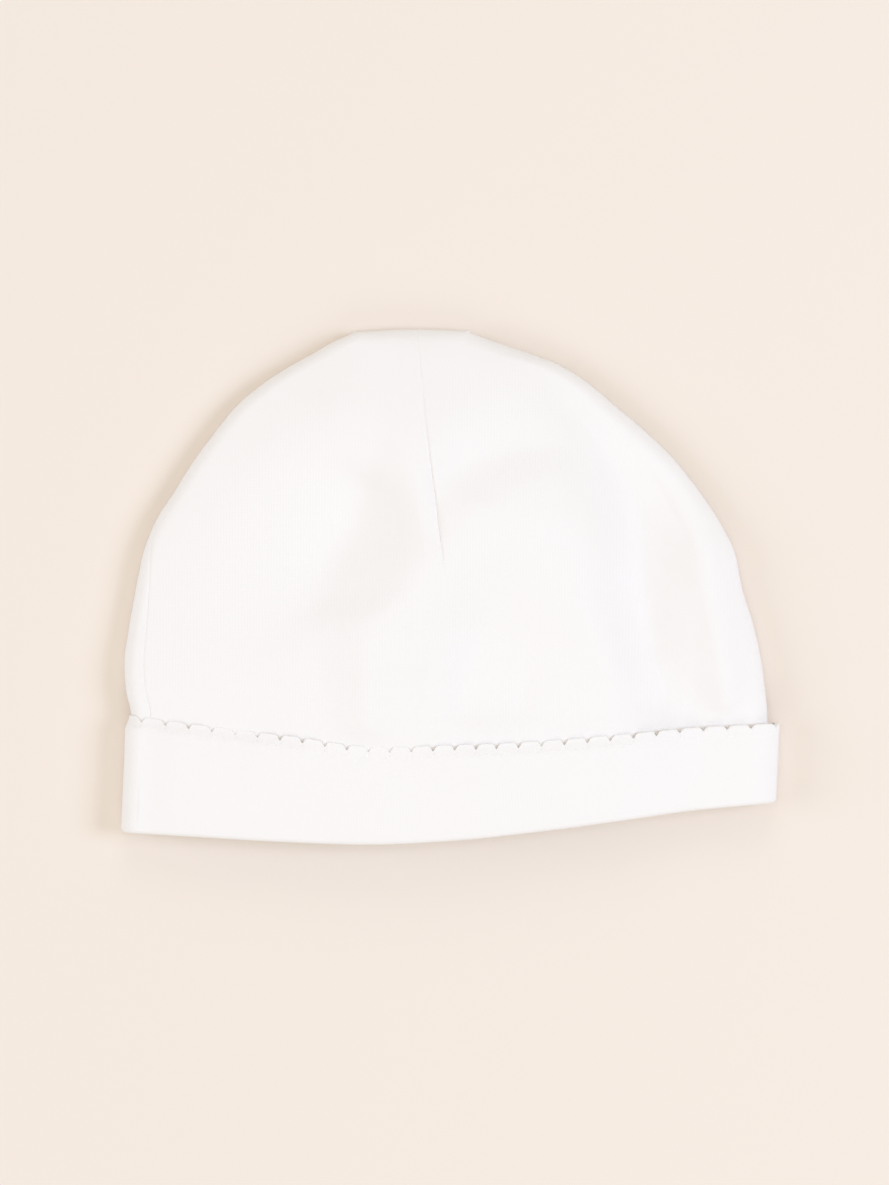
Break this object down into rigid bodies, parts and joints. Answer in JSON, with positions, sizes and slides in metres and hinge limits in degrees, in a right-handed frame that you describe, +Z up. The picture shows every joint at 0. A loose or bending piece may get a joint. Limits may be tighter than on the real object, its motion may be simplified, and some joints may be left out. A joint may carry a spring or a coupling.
{
  "type": "nightcap",
  "caption": "Newborn's white cotton jersey nightcap lying flat: a rounded crown of sewn panels with a front dart and a turned-up cuff with a shell-stitched edge.",
  "frame": {"origin": "on the surface that the cap lies on, under the middle of its bounding box", "axes": "+X across the cap to the right as it is seen from above, +Y from the mouth to the top of the crown, +Z up off the surface"},
  "size_m": [0.1649, 0.1299, 0.0175],
  "materials": {
    "crown_jersey": "fine white cotton jersey, matt and soft",
    "cuff_jersey": "white cotton jersey turned up double, edge gathered into shells by thread"
  },
  "bodies": {
    "root": {"crown_front": "crown_jersey", "crown_back": "crown_jersey", "cuff": "cuff_jersey"}
  },
  "joints": []
}
